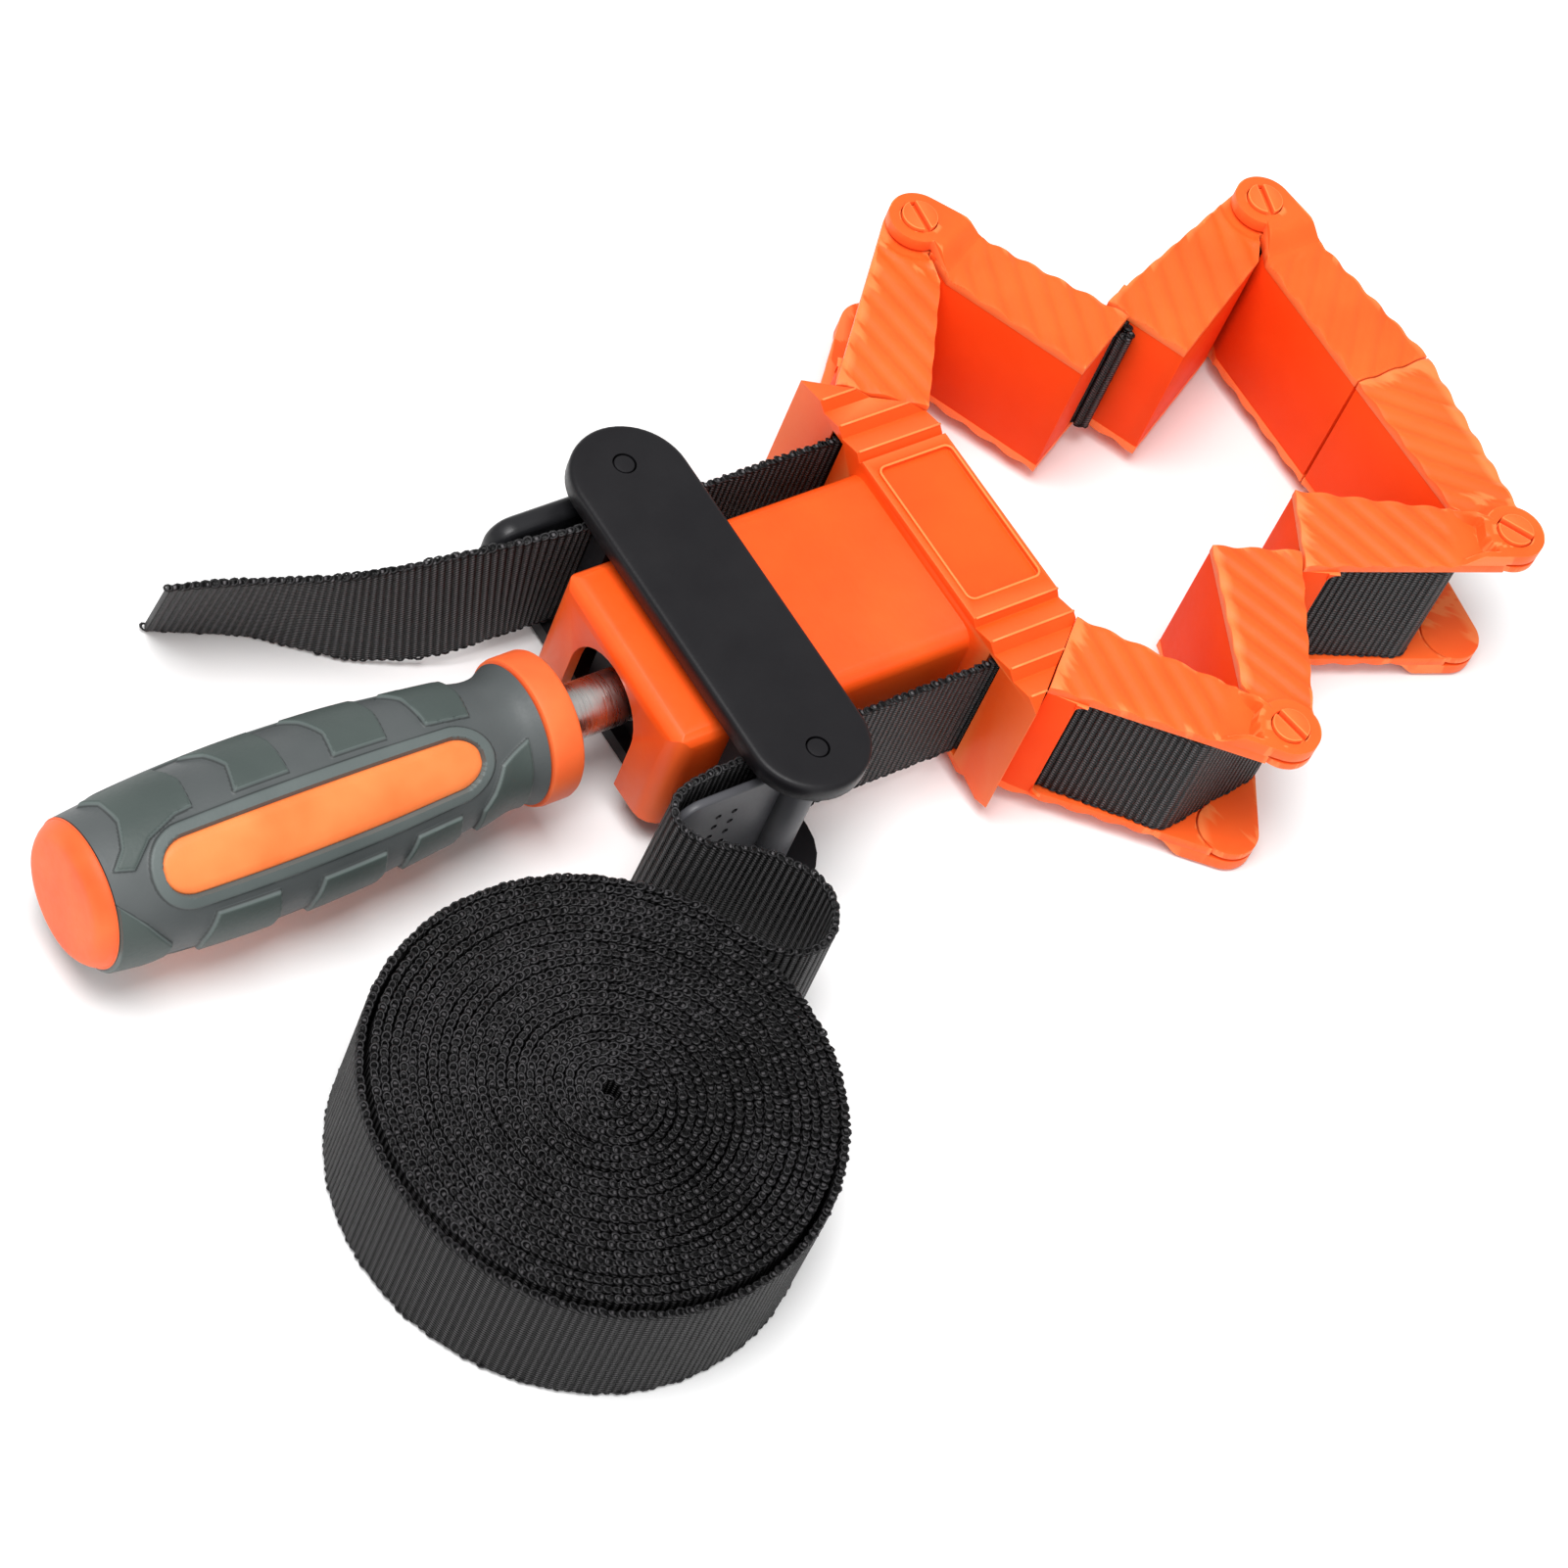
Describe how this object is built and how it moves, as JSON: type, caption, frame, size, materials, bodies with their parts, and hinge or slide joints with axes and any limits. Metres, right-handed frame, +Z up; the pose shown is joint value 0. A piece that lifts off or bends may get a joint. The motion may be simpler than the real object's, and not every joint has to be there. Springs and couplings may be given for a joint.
{
  "type": "band clamp",
  "caption": "Band clamp with a screw handle, a sliding yoke with cam levers that lock a webbing strap, and folding corner arms that the strap pulls round the work.",
  "frame": {"origin": "on the table under the middle of the yoke, on the screw's axis in plan", "axes": "+X along the screw from the handle to the head and arms, +Y to the side of the free strap end, +Z up"},
  "size_m": [0.269, 0.1655, 0.036],
  "materials": {
    "orange_plastic": "moulded, satin",
    "dark_plastic": "moulded, fine texture",
    "grip_rubber": "soft, matt",
    "steel": "plain turned steel",
    "webbing": "woven polyester"
  },
  "bodies": {
    "frame": {"housing": "orange_plastic", "keeper_plate": "steel", "left_channel_strap": "webbing", "right_channel_strap": "webbing", "left_strap_run": "webbing", "right_strap_run": "webbing"},
    "screw": {"spindle": "steel", "thrust_washer": "steel", "handle_core": "orange_plastic", "handle_grip": "grip_rubber"},
    "yoke": {"yoke_frame": "dark_plastic", "yoke_top_plate": "dark_plastic", "spindle_nut": "steel", "left_lever_pin": "steel", "right_lever_pin": "steel", "strap_tail": "webbing", "strap_loop": "webbing", "strap_coil": "webbing"},
    "left_lever": {"left_cam_lever": "dark_plastic"},
    "right_lever": {"right_cam_lever": "dark_plastic"},
    "left_head_link": {"left_head_arm": "orange_plastic", "left_head_strap": "webbing"},
    "left_middle_link": {"left_middle_arm": "orange_plastic", "left_middle_strap": "webbing", "left_inner_top_pin": "steel", "left_inner_bottom_pin": "steel"},
    "left_outer_link": {"left_outer_arm": "orange_plastic", "left_outer_strap": "webbing"},
    "left_end_link": {"left_end_arm": "orange_plastic", "left_end_strap": "webbing", "left_outer_top_pin": "steel", "left_outer_bottom_pin": "steel", "seam_strap": "webbing"},
    "right_head_link": {"right_head_arm": "orange_plastic", "right_head_strap": "webbing", "right_inner_top_pin": "steel", "right_inner_bottom_pin": "steel"},
    "right_middle_link": {"right_middle_arm": "orange_plastic", "right_middle_strap": "webbing"},
    "right_outer_link": {"right_outer_arm": "orange_plastic", "right_outer_strap": "webbing", "right_outer_top_pin": "steel", "right_outer_bottom_pin": "steel"},
    "right_end_link": {"right_end_arm": "orange_plastic", "right_end_strap": "webbing"}
  },
  "joints": [
    {"name": "handle_turn", "type": "hinge", "parent": "frame", "child": "screw", "pos_m": [0, 0, 0.018], "axis": [1, 0, 0], "range_deg": [-3000, 300]},
    {"name": "yoke_slide", "type": "slide", "parent": "frame", "child": "yoke", "axis": [1, 0, 0], "range_m": [-0.0025, 0.025], "deforming": ["left_strap_run", "right_strap_run"]},
    {"name": "left_lever_turn", "type": "hinge", "parent": "yoke", "child": "left_lever", "pos_m": [0, 0.0298, 0.018], "axis": [0, 0, 1], "range_deg": [-80, 0]},
    {"name": "right_lever_turn", "type": "hinge", "parent": "yoke", "child": "right_lever", "pos_m": [0, -0.0298, 0.018], "axis": [0, 0, 1], "range_deg": [0, 80], "deforming": ["strap_loop"]},
    {"name": "left_head_fold", "type": "hinge", "parent": "frame", "child": "left_head_link", "pos_m": [0.04627, 0.0334, 0.018], "axis": [0, 0, 1], "range_deg": [0, 40]},
    {"name": "left_inner_pivot", "type": "hinge", "parent": "left_head_link", "child": "left_middle_link", "pos_m": [0.0783, 0.0571, 0.018], "axis": [0, 0, 1], "range_deg": [0, 40]},
    {"name": "left_outer_fold", "type": "hinge", "parent": "left_middle_link", "child": "left_outer_link", "pos_m": [0.10455, 0.02712, 0.018], "axis": [0, 0, 1], "range_deg": [-60, 0]},
    {"name": "left_outer_pivot", "type": "hinge", "parent": "left_outer_link", "child": "left_end_link", "pos_m": [0.1422, 0.0386, 0.018], "axis": [0, 0, 1], "range_deg": [0, 20], "deforming": ["seam_strap"]},
    {"name": "right_head_fold", "type": "hinge", "parent": "frame", "child": "right_head_link", "pos_m": [0.04614, -0.03335, 0.018], "axis": [0, 0, 1], "range_deg": [-40, 0]},
    {"name": "right_inner_pivot", "type": "hinge", "parent": "right_head_link", "child": "right_middle_link", "pos_m": [0.0785, -0.0566, 0.018], "axis": [0, 0, 1], "range_deg": [-40, 0]},
    {"name": "right_outer_fold", "type": "hinge", "parent": "right_middle_link", "child": "right_outer_link", "pos_m": [0.10438, -0.0263, 0.018], "axis": [0, 0, 1], "range_deg": [0, 60]},
    {"name": "right_outer_pivot", "type": "hinge", "parent": "right_outer_link", "child": "right_end_link", "pos_m": [0.142, -0.0386, 0.018], "axis": [0, 0, 1], "range_deg": [-20, 0]}
  ],
  "couplings": [
    {"joint": "yoke_slide", "follows": "handle_turn", "m_per_rad": -0.000477},
    {"joint": "left_outer_fold", "follows": "left_inner_pivot", "ratio": -1.5},
    {"joint": "left_outer_pivot", "follows": "left_inner_pivot", "ratio": 0.5},
    {"joint": "right_outer_fold", "follows": "right_inner_pivot", "ratio": -1.5},
    {"joint": "right_outer_pivot", "follows": "right_inner_pivot", "ratio": 0.5}
  ]
}
